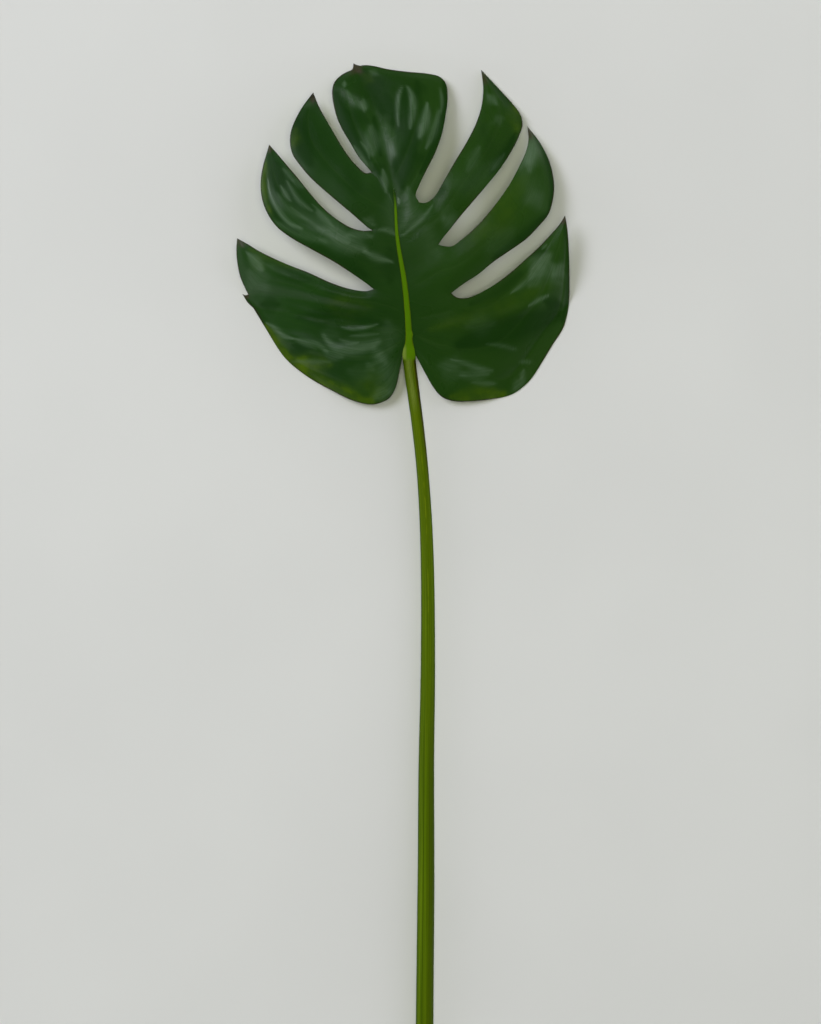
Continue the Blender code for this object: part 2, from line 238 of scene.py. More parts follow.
blade = dict(
    thickness=0.8, marginThickness=0.3, marginTaper=1.3,
    marginCurl=0.7, marginCurlWidth=3,
    swellPower=0.7, leanPower=1.5,  # how full a finger's swell is, and how late its lean to one edge sets in
    veinGroove=0.35, veinWidth=0.11, veinFadeIn=(6, 14), veinFadeOut=(0.02, 0.25), veinRidge=0.9,
    fineGroove=0.04, fineWidth=0.75,  # the narrow line at the bottom of each side vein
    fineFadeIn=(2, 9), fineFadeOut=(0, 0.12),
    endVeinWidth=3, endFineWidth=0.9,
    broadRidge=0.5, ridgeMargin=4,  # the broad vein's share in the ridge, which dies away at the margin
    midGroove=0.15, midRidge=1.3, midTint=0.3, midWidth=2.6, midStart=(98, 126), midEnd=(185, 216),
    crumple=0.22, crumpleLengths=(4.1, 5.3, 7.7), crumpleBends=(9, 11),
    calmMargin=5, calmRib=9,  # creases and folds die away this near to the margin and to the midrib
    pathEnds=0.3,  # share of its length over which a fold or a vein dies away at an end
)

midlinePath = densePath(outline["midline"])
ribPath = densePath(rib["stations"])


def midlineX(y):  # the midrib's place across the leaf
    return np.interp(y, midlinePath[:, 1], midlinePath[:, 0])


def ribSize(y):  # half width of the strip, half width and depth of the body
    return [np.interp(y, ribPath[:, 0], ribPath[:, i]) for i in (1, 2, 3)]


def slotHalf(y):  # half width of the slot that the midrib lies in, closing past its end
    closed = fadeOut(y, rib["slotEnd"] - rib["slotTaper"], rib["slotEnd"])
    return (ribSize(y)[0] + rib["slotGap"]) * closed


def slotEdge(y, side):  # points along one side of the slot
    return np.stack([midlineX(y) + side * slotHalf(y), y], axis=1)


def crownHeight(y):  # kneeTop + archRise sin(pi y / archSpan)
    return form["kneeTop"] + form["archRise"] * np.sin(np.pi * y / form["archSpan"])


def broadHeight(x, y):  # arch + trough beside the midrib - droop * reach^2 + a wave away from the midrib
    reach = x - midlineX(y)
    fall = np.where(reach < 0, form["leftDroop"], form["rightDroop"])
    fall = fall + form["baseDroop"] * fadeOut(y, *form["baseDroopSpan"])
    trough = form["troughRise"] * (1 - bell(reach, form["troughWidth"]))
    lengthX, lengthY = form["rippleLengths"]
    ripple = form["ripple"] * np.sin(x / lengthX + 0.6) * np.sin(y / lengthY)
    ripple = ripple * smoothStep(np.abs(reach), *form["rippleFade"])
    return crownHeight(y) + trough - fall * reach**2 + ripple


def levelOut(height):  # no lower than a blade's thickness, with a soft bend where it levels out
    over = height - blade["thickness"]
    soft = form["restBlend"]
    bend = (np.clip(over, -soft, soft) + soft) ** 2 / (4 * soft)
    return blade["thickness"] + np.where(over > soft, over, bend)


folds = [  # a path, how high it stands (below 0 it is a crease) and half its width
    ([(-96, 38), (-82, 34), (-67, 29.5), (-48, 28), (-36, 24), (-25, 23)], -1, 3),
    ([(-107, 25), (-94, 15), (-78, 11), (-61, 3), (-48, 3), (-30, 7)], 1.3, 5),
    ([(-50, 21), (-43, 19.5), (-33, 20), (-23, 23)], 0.6, 2.2),
    ([(-91, -2.5), (-75, -3.8), (-58, -4.5)], 0.7, 2.6),
    ([(-122, 78), (-108, 66), (-88, 58), (-66, 51)], 1, 5),
    ([(-104, 136), (-98, 116), (-83, 99), (-62, 88), (-38, 78), (-14, 70)], 0.9, 5),
    ([(-92, 131), (-87, 123), (-81, 115), (-70, 106)], 0.6, 2.4),
    ([(-50, 206), (-46, 197), (-40, 190), (-32, 184)], 0.8, 3.4),
    ([(-8, 170), (-8.3, 183), (-7, 195), (-4, 202)], 0.5, 1.8),
    ([(-1, 202), (2.5, 193), (3, 183), (1, 169)], 0.6, 2),
    ([(14, 190), (12.8, 178), (8, 164)], 0.7, 2.6),
    ([(23, 186), (20, 173), (14, 157)], 0.6, 2.4),
    ([(-16, 170), (-13, 158), (-10.5, 143)], 0.6, 5.5),
    ([(-29, 170), (-27, 152)], 0.5, 3.4),
    ([(-20, 139), (-18, 129), (-17, 120)], 0.5, 2.4),
    ([(0, 123), (1, 115), (1, 106), (-3, 95)], 0.7, 5),
    ([(104, 74), (92, 60), (76, 46), (45, 34), (22, 28)], 0.9, 4.5),
    ([(105, 45), (90, 37), (66, 28), (40, 24), (16, 21)], 1.1, 4),
    ([(58, 8.5), (68, 7.5), (81, 4.5)], 0.5, 2.4),
    ([(30, -3), (42, -6), (54, -10), (64, -11.5)], 0.7, 3),
    ([(48, -20), (65, -21)], 0.5, 2.6),
    ([(86, -2), (85, -10), (82, -19)], 0.6, 3),
    ([(92, 158), (95, 148), (92, 130)], 0.7, 5),
    ([(60, 195), (66, 182), (60, 162), (46, 140)], 0.6, 4.5),
]


def foldHeight(x, y):  # sum over the folds of height * bell of the distance, dying away at both ends
    total = np.zeros_like(x)
    for path, height, width in folds:
        away, share = nearCurve(x, y, path, 24)
        ends = smoothStep(share, 0, blade["pathEnds"]) * smoothStep(1 - share, 0, blade["pathEnds"])
        total += height * ends * bell(away, width)
    return total


def crumple(x, y):  # three crossed waves, a faint unevenness of the whole sheet
    short, middle, long = blade["crumpleLengths"]
    bendY, bendX = blade["crumpleBends"]
    waves = np.sin(x / short + 0.9 * np.sin(y / bendY)) + np.sin(y / middle + 1.1 * np.sin(x / bendX))
    return blade["crumple"] * (waves + np.sin((x + 1.4 * y) / long)) / 3


# Marks: a path, half its width at the start and at the end, and a strength

paintedSheens = [  # painted sheen: places painted paler where highlights fall; their wax shines more too
    ([(-107, 25), (-100.5, 21), (-94, 15), (-88, 13)], 1.3, 1.9, 0.75),  # left1
    ([(-88, 13), (-78, 11), (-68, 8), (-61, 3)], 1.1, 2.1, 0.62),
    ([(-84, 10.5), (-77, 7.5), (-70, 5)], 0.9, 1, 0.3),
    ([(-52, 12), (-44, 9), (-38, 9.5)], 1.1, 1.4, 0.4),
    ([(-64, 15), (-57, 7), (-48, 4), (-35, 5.5), (-23, 10)], 2.6, 4.5, 0.7),
    ([(-50.3, 21), (-43, 19.5), (-33, 20.3), (-23, 23.3)], 0.9, 1.2, 0.6),
    ([(-44, 14.3), (-23, 15.8)], 1.1, 1.1, 0.4),
    ([(-26, 5), (-18, -5)], 5, 4, 0.35),
    ([(-22, 0), (-16, -14), (-13, -28)], 7, 6, 0.35),
    ([(-16, 24), (-14, 4)], 6, 6, 0.22),
    ([(-31, -6), (-27, -11)], 3, 3, 0.3),
    ([(-88, -4.5), (-74, -4), (-59, -4.8)], 1.2, 1.6, 0.35),
    ([(-25, -31), (-16, -27)], 5, 5, 0.45),
    ([(-63, 3), (-57, 0), (-50, -1)], 3, 3, 0.4),
    ([(-64, 17), (-54, 15)], 5, 5, 0.16),
    ([(-44, -12), (-30, -16)], 6, 6, 0.16),
    ([(-120.8, 76.5), (-115, 70.5), (-110, 64.5)], 1.8, 3.6, 1),  # left2
    ([(-110, 69), (-100, 64.5), (-89, 59)], 1.6, 1.6, 0.25),
    ([(-119, 62), (-108, 51)], 6, 9, 0.35),
    ([(-22.5, 93), (-16.5, 93), (-9.8, 89)], 1.6, 1.6, 0.55),  # left3
    ([(-105.3, 131), (-103.2, 118), (-97.2, 107.5), (-89.3, 98.5), (-80, 94)], 0.6, 2, 0.88),
    ([(-68, 94), (-58, 91), (-46, 86), (-34, 79)], 3.5, 6.5, 0.35),
    ([(-98, 121), (-92, 111), (-85, 105), (-77, 101)], 1.4, 1.8, 0.3),
    ([(-88, 110), (-76, 101), (-62, 91), (-46, 83)], 1.2, 1.8, 0.3),
    ([(-95.5, 126), (-91.5, 119), (-88.5, 115)], 1.3, 1.3, 0.68),
    ([(-91.5, 130.5), (-87, 123), (-82, 115), (-72, 107)], 1.1, 2, 0.6),
    ([(-68, 106), (-61, 99), (-52, 90), (-45, 84.5)], 3.4, 4.4, 0.4),
    ([(-72, 112), (-64, 104), (-57, 96)], 1.1, 1.4, 0.4),
    ([(-33, 76.5), (-23, 72), (-12, 69)], 2.6, 1.3, 0.7),
    ([(-46, 88.5), (-37, 90), (-28, 88)], 3, 3, 0.45),
    ([(-66, 86), (-56, 82), (-44, 79), (-33, 78)], 3, 4, 0.33),
    ([(-99, 99), (-88, 93.5), (-76, 89), (-62, 84)], 2.6, 3.2, 0.36),
    ([(-94, 139), (-89.5, 134.5), (-86, 129)], 1.7, 1.7, 0.5),
    ([(-86, 131), (-79, 125)], 2.6, 2.6, 0.32),
    ([(-78, 186), (-72, 191)], 2.6, 2.6, 0.4),  # left4
    ([(-33, 100.5), (-26, 96.5)], 3.4, 3.4, 0.3),
    ([(-15, 117), (-13, 104), (-8, 90)], 5, 5, 0.2),
    ([(-48.4, 204.8), (-48.4, 201)], 1.3, 1.3, 0.8),  # end lobe, left
    ([(-46.5, 198), (-42, 191), (-37, 187.5), (-33, 184.5)], 1.6, 3.2, 0.6),
    ([(-34, 191), (-33.5, 182.5)], 2.2, 2.2, 0.5),
    ([(-28.5, 170), (-27, 150)], 4.4, 4.4, 0.5),
    ([(-19.5, 138), (-18, 129), (-17.3, 121)], 1.8, 1.8, 0.7),
    ([(-29.5, 146), (-31, 152), (-36, 159)], 1, 1, 0.5),
    ([(-41, 156), (-36.5, 149), (-31, 141)], 1.7, 1.7, 0.5),
    ([(-29, 213), (-23.5, 210.5)], 2, 2, 0.4),  # end lobe, right
    ([(-7.9, 171), (-8.3, 183), (-7.5, 194), (-5.3, 201)], 1.1, 1.3, 0.7),
    ([(-1.1, 201), (2.3, 193.5), (3, 183), (0.8, 169.5)], 1.8, 2.2, 0.8),
    ([(13.5, 188), (12.5, 177), (8, 163)], 1.9, 3.4, 1),
    ([(22.5, 183), (20.3, 172.5), (16.5, 162), (12.8, 154.5)], 2.2, 2, 0.6),
    ([(23.3, 199.5), (24.8, 190), (24, 181)], 1, 1, 0.6),
    ([(-18, 171), (-14, 161), (-10.5, 150)], 5, 7, 0.31),
    ([(-15, 158), (-13.2, 142)], 3.6, 2, 0.2),
    ([(-8.3, 117), (-7.5, 112.5)], 1, 1, 0.8),
    ([(-1, 124), (0, 117), (1, 106), (-4, 96)], 3.5, 5.5, 0.35),  # right3
    ([(-5.3, 88.5), (2.3, 94.5), (11.3, 103), (17.3, 111)], 1.3, 1.3, 0.6),
    ([(59, 195), (65, 189)], 2.6, 3, 0.6),
    ([(66, 178), (68, 174)], 4, 4, 0.3),
    ([(52, 154.5), (44, 138)], 3.2, 3.2, 0.3),
    ([(70.5, 149.5), (62, 138)], 1.8, 1.8, 0.3),
    ([(23, 108), (34, 103.5)], 4.5, 4.5, 0.12),
    ([(26, 101.5), (35, 95)], 4.5, 4.5, 0.4),
    ([(28, 128), (46, 129), (62, 141)], 8, 8, 0.16),
    ([(23, 76), (16, 84), (13, 94)], 7, 7, 0.16),
    ([(90, 165), (91, 156), (90, 146)], 4, 6, 0.8),  # right2
    ([(90.5, 157), (91, 149), (90, 139)], 5, 5, 0.6),
    ([(86, 150), (83, 140)], 3, 4, 0.35),
    ([(88, 115), (98, 119)], 6, 6, 0.25),
    ([(60, 78), (76, 92)], 8, 8, 0.15),
    ([(84, 138), (92, 124), (100, 110)], 7, 7, 0.17),
    ([(91, 59), (97, 67), (104, 74)], 4.2, 5.5, 0.85),  # right1
    ([(108, 60.5), (113.5, 66.5)], 5, 5, 0.75),
    ([(98, 66), (106, 58), (113, 54)], 5, 4, 0.3),
    ([(76, 46.5), (83, 51), (91, 58)], 1, 1.6, 0.55),
    ([(89, 36.8), (98, 42), (104.5, 45)], 1, 1.3, 0.9),
    ([(58, 8.5), (68, 7.5), (81, 4.5)], 0.9, 1.4, 0.35),
    ([(31, -3), (42, -6), (53, -9.8), (62, -11.3)], 1.2, 2.2, 0.5),
    ([(48, -20), (64.5, -21)], 1.6, 1.8, 0.45),
    ([(83, -4.5), (92, -4.5)], 1.2, 1.2, 0.45),
    ([(84, -18), (86, -10)], 1.6, 1.6, 0.4),
    ([(99, 79), (102.8, 82.5)], 0.9, 0.9, 0.5),
    ([(24, -8), (40, -14)], 6, 6, 0.25),
    ([(79, -25), (86, -18)], 3.2, 3.2, 0.4),
    ([(39, -14.5), (49, -14.5), (59, -14)], 3.2, 3.2, 0.36),
    ([(44, 22), (62, 24)], 6, 6, 0.14),
    ([(28, -5), (34, -9)], 6, 6, 0.16),
    ([(90, 52), (98, 60)], 4, 4, 0.4),
]
warmths = [  # yellow-green places
    ([(-108, 22), (-99, 6), (-90, -4)], 3.6, 5, 1.7),  # left1
    ([(-92, -3), (-77, -13), (-58, -24.5)], 6.5, 5, 1.8),
    ([(-82, -3), (-60, -7)], 5, 5, 0.7),
    ([(-66, -20), (-52, -27.5), (-40, -32.5), (-27, -35)], 4.5, 3.5, 1.6),
    ([(-36, -20), (-18, -24)], 9, 9, 0.3),
    ([(-27, -31), (-17, -28)], 5, 5, 0.45),
    ([(-119, 79), (-97, 70.5), (-82, 64.5)], 2.6, 2.6, 0.35),  # left2
    ([(-60, 38), (-30, 36)], 7, 7, 0.25),
    ([(-117, 73), (-109, 65)], 3, 4, 0.35),
    ([(-107, 144), (-109, 128), (-107.5, 117), (-103, 106)], 2.4, 2.2, 0.6),  # left3
    ([(-85, 168), (-86, 155)], 4, 3, 0.45),  # left4
    ([(-34, 210), (-28, 206)], 4, 4, 0.3),  # end lobe, right
    ([(79.5, 188), (82.5, 178), (81, 169)], 6, 6, 0.5),  # right3
    ([(62, 118), (48, 104)], 6, 6, 0.35),  # right2
    ([(83, 130), (68, 106), (46, 84)], 12, 9, 0.22),
    ([(16, 19), (46, 28), (68, 36), (91, 47), (104, 53)], 4.5, 8, 0.2),  # right1
    ([(32, -31), (50, -30), (70, -28.5)], 3.8, 5, 1.3),
]
shades = [  # painted shade: places painted darker where the leaf lies in shade, and made to shine less
    ([(-82, 29), (-44, 29), (-16, 22)], 5, 4, 0.7),  # left1
    ([(-74, 1), (-67, -2)], 4, 3, 0.4),
    ([(-88, 4), (-82, 0), (-74, -1)], 4, 4, 0.7),
    ([(-110, 38), (-98, 38)], 5, 5, 0.8),
    ([(-87, 8), (-79, 6), (-72, 5)], 2.4, 2.4, 0.9),
    ([(-99, 65), (-86, 59), (-74, 56)], 4, 4, 0.6),  # left2
    ([(-93, 92), (-82, 84), (-59, 74), (-33, 59)], 3, 6, 0.8),  # left3
    ([(-14, 78), (-14, 55)], 7, 6, 0.6),
    ([(-99, 142), (-88, 122), (-72, 108)], 6, 7, 0.8),
    ([(-104, 150), (-101, 135), (-97, 122)], 4, 5, 0.9),
    ([(-108, 136), (-106.6, 122), (-101, 107.5), (-92, 97.5), (-82, 91)], 1.5, 2.2, 1),
    ([(-80, 175), (-60, 150), (-40, 125)], 12, 12, 0.6),  # left4
    ([(-84, 174), (-82, 158), (-74, 143)], 6, 7, 0.9),
    ([(-45, 180), (-32, 175)], 7, 7, 0.6),  # end lobe, left
    ([(-54, 190), (-46, 168), (-36, 150)], 3, 3, 0.8),
    ([(-55, 196), (-48, 176), (-38, 156), (-30, 146)], 5, 5, 1),
    ([(-26, 178), (-24.3, 165), (-21, 149)], 2.6, 2.2, 0.9),
    ([(-25, 142), (-21, 134)], 4, 4, 0.8),
    ([(-10, 143), (8, 147)], 9, 9, 0.8),  # end lobe, right
    ([(-20, 205), (10, 200)], 12, 9, 0.5),
    ([(26, 206), (27.5, 194), (25.5, 178), (19, 158), (9, 136)], 2.6, 3, 1.2),
    ([(-3, 200), (-2.5, 175)], 2.2, 2.2, 0.8),
    ([(-4, 190), (-2, 165), (-2, 140)], 5, 6, 1),
    ([(-34, 212), (-26, 198), (-20, 183)], 7, 7, 1),
    ([(6, 205), (8, 180), (3, 150)], 3, 4, 0.7),
    ([(-8, 146), (-6, 135), (-5, 125)], 5, 5, 1),
    ([(-16, 193), (-13, 181), (-10, 168)], 4.5, 4, 0.9),
    ([(-5.5, 190), (-5.5, 170), (-5, 153)], 3.4, 4, 0.9),
    ([(79.5, 166), (72, 151), (61, 136)], 3, 3.5, 1),  # right3
    ([(56, 212), (66, 200), (77, 188.5), (83.5, 178), (83.5, 170)], 2.4, 3, 0.9),
    ([(55, 170), (60, 150), (40, 122)], 7, 6, 0.4),
    ([(18, 118), (26, 125)], 4, 4, 0.8),
    ([(104, 106), (86, 88), (64, 72)], 4, 5, 1),  # right2
    ([(93, 166), (102, 150), (106.5, 136), (107.5, 122), (105, 110)], 2.2, 2.6, 1),
    ([(38, 8), (68, 18), (91, 25), (110, 30)], 9, 12, 1.2),  # right1
    ([(46, 38), (68, 48), (83, 61)], 4, 5.5, 0.7),
    ([(115.5, 100), (118.5, 80), (119, 60), (118.5, 40), (115, 26)], 2, 2, 0.8),
    ([(91, 75), (101, 78)], 4, 4, 0.8),
    ([(102, 41), (113, 38)], 4, 5, 0.9),
]
brownSpots = [
    ([(-124.5, 46.5), (-121, 44)], 1.6, 2.6, 1),  # left1
    ([(-128, 87), (-124, 82)], 2, 3, 0.8),  # left2
    ([(-104.3, 157), (-104, 153)], 2, 3, 1),  # left3
    ([(-71.5, 196), (-72, 190)], 3.5, 3, 1),  # left4
    ([(-41.5, 217.5), (-37, 213)], 4.5, 4.5, 1),  # end lobe, right
    ([(53.5, 213.5), (57, 205)], 2, 3.5, 0.8),  # right3
    ([(88.5, 171), (91, 163)], 1.6, 3, 1),  # right2
    ([(116.3, 104), (115, 99)], 1.5, 2.5, 1),  # right1
]
endVeins = [  # the side veins of the end lobe, from the midrib to the margin
    [(-11, 113), (2, 128), (13, 150), (19, 172), (21, 196)],
    [(-13, 128), (-3, 148), (5, 172), (8, 204)],
    [(-17, 148), (-11, 168), (-8, 188), (-10, 208)],
    [(-12, 124), (-24, 142), (-36, 162), (-45, 186), (-48, 204)],
    [(-18, 152), (-27, 170), (-34, 190), (-38, 206)],
]


markEnds, markMiddle = 0.5, 0.8  # a mark's width at its ends, and what its middle adds, as shares


def markField(x, y, marks):  # sum of strength * bell of the distance, kept to 0..1
    total = np.zeros_like(x)
    for path, startWidth, endWidth, strength in marks:
        spread = 2 * max(startWidth, endWidth)
        corners = np.array(path)
        low, high = corners.min(axis=0) - spread, corners.max(axis=0) + spread
        near = (x > low[0]) & (x < high[0]) & (y > low[1]) & (y < high[1])
        away, share = nearCurve(x[near], y[near], path, 16)
        swell = markEnds + markMiddle * np.sin(np.pi * share)
        width = (startWidth + (endWidth - startWidth) * share) * swell
        total[near] += strength * bell(away, width)
    return np.clip(total, 0, 1)


def veinField(x, y, paths, width):  # bell of the distance to the nearest vein, dying away at its end
    field = np.zeros_like(x)
    for path in paths:
        away, share = nearCurve(x, y, path, 30)
        field = np.maximum(field, bell(away, width) * smoothStep(1 - share, 0, blade["pathEnds"]))
    return field


# Blade

def lobeEdge(side, seam, margin, tip, columns):  # one long edge of a lobe: its seam, then its free margin
    if margin is None:
        return slotEdge(np.linspace(outline["seams"]["leftTop"][0], tip[1], columns + 1), side)
    if seam is None:
        start = slotEdge(np.zeros(1), side)[0]
        return alongPath([start, *margin, tip], np.linspace(0, 1, columns + 1))
    foot, inner, points = outline["seams"][seam]
    inner = inner * outline["columnsFiner"]
    start = slotEdge(np.array([foot]), side)[0]
    inside = alongPath([start, *points], np.linspace(0, 1, inner + 1))
    shares = np.linspace(0, 1, columns - inner + 1) ** outline["crowding"]
    outside = alongPath([points[-1], *margin, tip], shares)
    return np.vstack([inside, outside[1:]])


def marginDistance(x, y, lobe):  # from each point to the nearer free margin of its lobe
    nearest = np.full(len(x), np.inf)
    for seam, margin in zip(lobe["seams"], (lobe["low"], lobe["top"])):
        if margin is not None:
            start = outline["seams"][seam][2][-1] if seam else slotEdge(np.zeros(1), lobe["side"])[0]
            nearest = np.minimum(nearest, nearCurve(x, y, [start, *margin, lobe["tip"]], 160)[0])
    return nearest


def lobeGrid(lobe):  # point(u, v) = lowEdge(v) * (1 - u) + topEdge(v) * u, with v from the midrib to the tip
    side, seams, veins, rowCount = [lobe[key] for key in ("side", "seams", "veins", "rows")]
    columns = lobe["columns"] * outline["columnsFiner"]
    margins = lobe["low"], lobe["top"]
    veined = lobe["top"] is not None  # the end lobe's veins don't run to its tip
    low, top = [lobeEdge(side, seam, margin, lobe["tip"], columns) for seam, margin in zip(seams, margins)]
    rows = np.linspace(0, 1, rowCount + 1)
    u = rows[:, None] + np.zeros((1, columns + 1))
    v = np.linspace(0, 1, columns + 1)[None] + np.zeros_like(u)
    plane = low[None] * (1 - u[..., None]) + top[None] * u[..., None]
    if veined:
        feet = [outline["seams"][seam][0] if seam else 0 for seam in seams]
        plane[:, 0] = slotEdge(feet[0] + (feet[1] - feet[0]) * rows, side)
    x, y = plane[..., 0].ravel(), plane[..., 1].ravel()
    u, v = u.ravel(), v.ravel()
    reach = np.abs(x - midlineX(y))
    toVein = np.abs(u[:, None] - (np.arange(veins) + 0.5) / veins).min(axis=1)
    breadth = np.tile(np.hypot(*(top - low).T), rowCount + 1)  # the lobe's width at each column
    fade = smoothStep(reach, *blade["veinFadeIn"]) * smoothStep(1 - v, *blade["veinFadeOut"]) * veined
    vein = bell(toVein * veins, blade["veinWidth"]) * fade
    fade = smoothStep(reach, *blade["fineFadeIn"]) * smoothStep(1 - v, *blade["fineFadeOut"]) * veined
    fine = bell(toVein * breadth, blade["fineWidth"]) * fade
    seamShare = max(outline["seams"][seam][1] if seam else 0 for seam in seams)
    seamShare = seamShare * outline["columnsFiner"] / columns
    free = np.clip((v - seamShare) / (1 - seamShare), 0, 1)
    puff, fall, lean = lobe["finger"]
    swell = np.sin(np.pi * u) ** 2 * np.sin(np.pi * v) ** blade["swellPower"]
    relief = puff * swell - fall * free**2 + lean * (2 * u - 1) * free ** blade["leanPower"]
    margin = marginDistance(x, y, lobe)
    corner = np.arange(rowCount)[:, None] * (columns + 1) + np.arange(columns)
    above = corner + columns + 1
    quads = np.stack([corner, corner + 1, above + 1, above], axis=-1).reshape(-1, 4)
    if side < 0:
        quads = quads[:, ::-1]
    return dict(x=x, y=y, u=u, v=v, relief=relief, vein=vein, fine=fine, margin=margin, quads=quads)


def buildSheet():  # all lobes as one sheet of triangles, welded where their points meet
    grids = [lobeGrid(lobe) for lobe in lobes]
    offsets = np.cumsum([0] + [len(grid["x"]) for grid in grids[:-1]])
    sheet = {key: np.concatenate([grid[key] for grid in grids]) for key in grids[0] if key != "quads"}
    quads = np.vstack([grid["quads"] + offset for grid, offset in zip(grids, offsets)])
    corners = np.vstack([quads[:, [0, 1, 2]], quads[:, [0, 2, 3]]])
    place = np.round(np.stack([sheet["x"], sheet["y"]], axis=1), 3)
    _, first, welded = np.unique(place, axis=0, return_index=True, return_inverse=True)
    welded = welded.ravel()
    triangles = welded[corners]
    a, b, c = triangles.T
    keep = (a != b) & (b != c) & (c != a)
    lobe = np.concatenate([np.full(len(grid["x"]), i) for i, grid in enumerate(grids)])
    uv = np.stack([sheet["u"] + lobe, sheet["v"]], axis=1)[corners[keep]]
    return {key: value[first] for key, value in sheet.items()}, triangles[keep], uv


def boundaryEdges(triangles, count):  # directed edges that no neighbour runs back along
    edges = np.vstack([triangles[:, [0, 1]], triangles[:, [1, 2]], triangles[:, [2, 0]]]).astype(np.int64)
    forward = edges[:, 0] * count + edges[:, 1]
    backward = edges[:, 1] * count + edges[:, 0]
    return edges[~np.isin(forward, backward)]


sharpAngle = 55  # degrees: an edge that bends further is shaded sharp


def addObject(name, data):
    thing = bpy.data.objects.new(name, data)
    bpy.context.scene.collection.objects.link(thing)
    return thing


def makePiece(name, points, triangles, attributes, uv):  # a mesh object from whole arrays, points in metres
    mesh = bpy.data.meshes.new(name)
    mesh.vertices.add(len(points))
    mesh.vertices.foreach_set("co", np.asarray(points, np.float32).ravel())
    mesh.loops.add(triangles.size)
    mesh.loops.foreach_set("vertex_index", np.asarray(triangles, np.int32).ravel())
    mesh.polygons.add(len(triangles))
    mesh.polygons.foreach_set("loop_start", np.arange(0, triangles.size, 3, dtype=np.int32))
    mesh.update(calc_edges=True)
    layer = mesh.uv_layers.new(name="grain")
    layer.data.foreach_set("uv", np.asarray(uv, np.float32).ravel())
    for key, values in attributes.items():
        mesh.attributes.new(key, "FLOAT", "POINT").data.foreach_set("value", np.asarray(values, np.float32))
    mesh.validate()
    mesh.shade_smooth()
    mesh.set_sharp_from_angle(angle=np.radians(sharpAngle))
    print(name, len(points), "points", len(triangles), "triangles")
    return addObject(name, mesh)


def kneePlace(x, y):  # the knee's place in the part's frame, from the CAD blade's box
    low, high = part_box("leaf_blade")
    return np.array([low[0] / mm - x.min(), high[1] / mm - y.max(), 0])


def buildBlade():  # top = broad form + relief - curl at the margin; bottom = top - thickness; walls between
    sheet, triangles, uv = buildSheet()
    x, y, margin = sheet["x"], sheet["y"], sheet["margin"]
    count = len(x)
    reach = x - midlineX(y)
    pastRib = smoothStep(y, *blade["midStart"]) * fadeOut(y, *blade["midEnd"])
    midline = bell(reach, blade["midWidth"]) * pastRib
    besideRib = smoothStep(np.abs(reach) - slotHalf(y), 0, blade["calmRib"])
    broadVein = np.maximum(sheet["vein"], veinField(x, y, endVeins, blade["endVeinWidth"]) * besideRib)
    fineVein = np.maximum(sheet["fine"], veinField(x, y, endVeins, blade["endFineWidth"]) * besideRib)
    relief = sheet["relief"] - blade["veinGroove"] * broadVein - blade["fineGroove"] * fineVein
    relief += (foldHeight(x, y) * smoothStep(margin, 0, blade["calmMargin"]) + crumple(x, y)) * besideRib
    curl = blade["marginCurl"] * bell(margin, blade["marginCurlWidth"])
    top = broadHeight(x, y) + relief - blade["midGroove"] * midline - curl
    inward = np.clip(margin / blade["marginTaper"], 0, 1)
    body = blade["thickness"] - blade["marginThickness"]
    body = blade["marginThickness"] + body * np.sqrt(1 - (1 - inward) ** 2)
    top = levelOut(top) - (blade["thickness"] - body) / 2
    ridge = blade["broadRidge"] * broadVein + fineVein
    ridge = blade["veinRidge"] * ridge * np.clip(margin / blade["ridgeMargin"], 0, 1)
    bottom = top - np.minimum(body + ridge + blade["midRidge"] * midline, top)
    shift = kneePlace(x, y)
    points = (np.vstack([np.stack([x, y, height], axis=1) for height in (top, bottom)]) + shift) * mm
    a, b = boundaryEdges(triangles, count).T
    walls = np.vstack([np.stack([a, a + count, b + count], axis=1), np.stack([a, b + count, b], axis=1)])
    faces = np.vstack([triangles, triangles[:, ::-1] + count, walls])
    allUv = np.vstack([uv.reshape(-1, 2), uv[:, ::-1].reshape(-1, 2), np.zeros((walls.size, 2))])
    once = dict(
        margin=margin, reach=reach, vein=np.clip(fineVein + blade["midTint"] * midline, 0, 1),
        waxAndPaintedSheen=markField(x, y, paintedSheens), warm=markField(x, y, warmths),
        shade=markField(x, y, shades), brown=markField(x, y, brownSpots),
    )
    attributes = {key: np.tile(value, 2) for key, value in once.items()}
    attributes["under"] = np.repeat([0.0, 1.0], count)
    return makePiece("monsteraBlade", points, faces, attributes, allUv), shift


# Stalk, knee and midrib

stalk = dict(
    stations=[  # centre line x, y and radius
        (11.5, -528, 6.6), (11.8, -480, 6.5), (12.6, -400, 6.3), (13, -310, 5.8), (14.2, -225, 5.3),
        (13.5, -145, 4.8), (10.5, -90, 4.4), (6.8, -54, 4.4), (1.9, -18, 4.6), (0.3, -5, 4.6),
    ],
    flatAngle=15, lift=6.6, liftStart=-160, rings=300, around=72, capRings=7,
    grain=0.09, ridges=[(9, 1, 1), (16, 0.7, -1.7), (29, 0.5, 3)],  # how many round it, share, twist
    twistLength=90, grainLength=100, cutGrain=9, wrinkle=0.16, wrinkleCount=23, wrinkleStart=(-34, -20),
    knobs=[(2.6, 15.5, 2, 0.7), (-3.6, 2.5, 3, 0.3)],  # small swellings at the knee: x, y, radius, height
    knobFrom=(8, 13), stripEdge=(0.35, 0.8), stripStart=(-6, 6),
)


